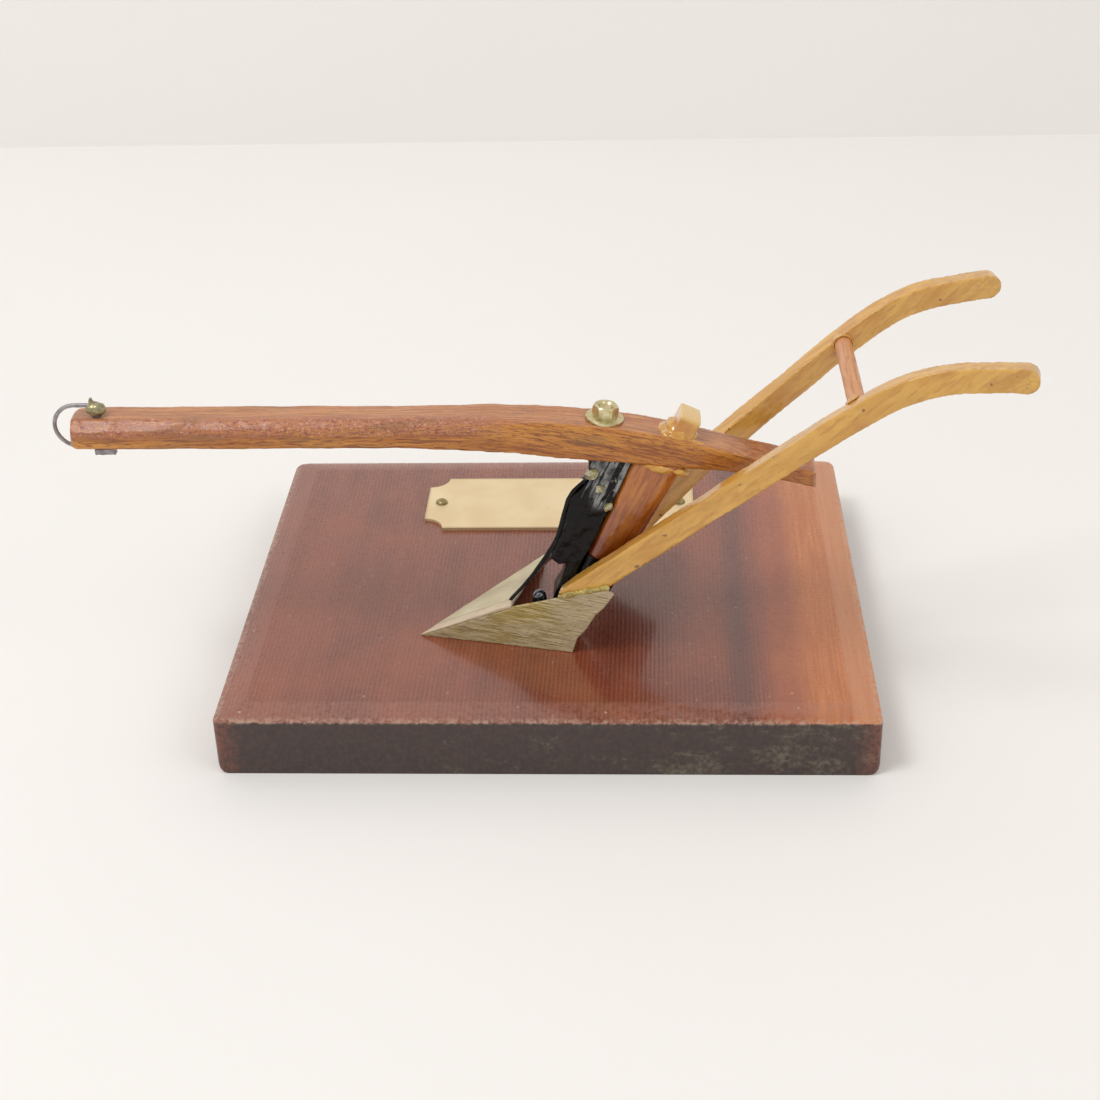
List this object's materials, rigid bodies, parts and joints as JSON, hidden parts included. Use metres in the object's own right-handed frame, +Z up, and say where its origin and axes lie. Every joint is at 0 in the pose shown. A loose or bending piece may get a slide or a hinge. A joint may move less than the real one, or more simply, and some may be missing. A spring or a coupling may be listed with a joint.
{
  "type": "walking plow",
  "caption": "Miniature walking plow with beam, share, moldboard, handles and a swinging clevis, on a varnished base board.",
  "frame": {"origin": "centre of the base board's underside", "axes": "+Z up; the plow points to -X and throws its furrow to +Y"},
  "size_m": [0.1963, 0.115, 0.0875],
  "materials": {
    "plaque_wood": "glossy varnish",
    "plate_brass": "satin",
    "pin_brass": "aged",
    "beam_oak": "varnished",
    "post_wood": "glossy varnish",
    "amber_glue": "clear glossy",
    "black_metal": "gloss black",
    "drop_glue": "glossy",
    "share_metal": "satin cream",
    "landside_metal": "scratched",
    "handle_wood": "varnished",
    "rung_wood": "varnished",
    "nut_metal": "yellow zinc",
    "screw_steel": "plain",
    "wire_steel": "dull grey",
    "solder": "aged solder"
  },
  "bodies": {
    "plow": {"base_board": "plaque_wood", "nameplate": "plate_brass", "nameplate_pins": "pin_brass", "beam": "beam_oak", "standard": "post_wood", "tenon_glue": "amber_glue", "shoulder_glue": "amber_glue", "post_ferrule": "black_metal", "frog": "black_metal", "frog_glue": "drop_glue", "moldboard": "black_metal", "share": "share_metal", "landside": "landside_metal", "landside_glue": "amber_glue", "left_handle": "handle_wood", "right_handle": "handle_wood", "right_handle_glue": "amber_glue", "handle_rung": "rung_wood", "rung_glue": "amber_glue", "beam_bolt": "nut_metal", "flange_nut": "nut_metal", "post_screw": "screw_steel", "frog_screw": "screw_steel"},
    "clevis": {"clevis_loop": "wire_steel", "clevis_pin": "wire_steel", "clevis_cap": "solder", "clevis_foot": "wire_steel"}
  },
  "joints": [
    {"name": "clevis_swing", "type": "hinge", "parent": "plow", "child": "clevis", "pos_m": [-0.0925, -0.025, 0.0642], "axis": [0, 0, 1], "range_deg": [-90, 90]}
  ]
}
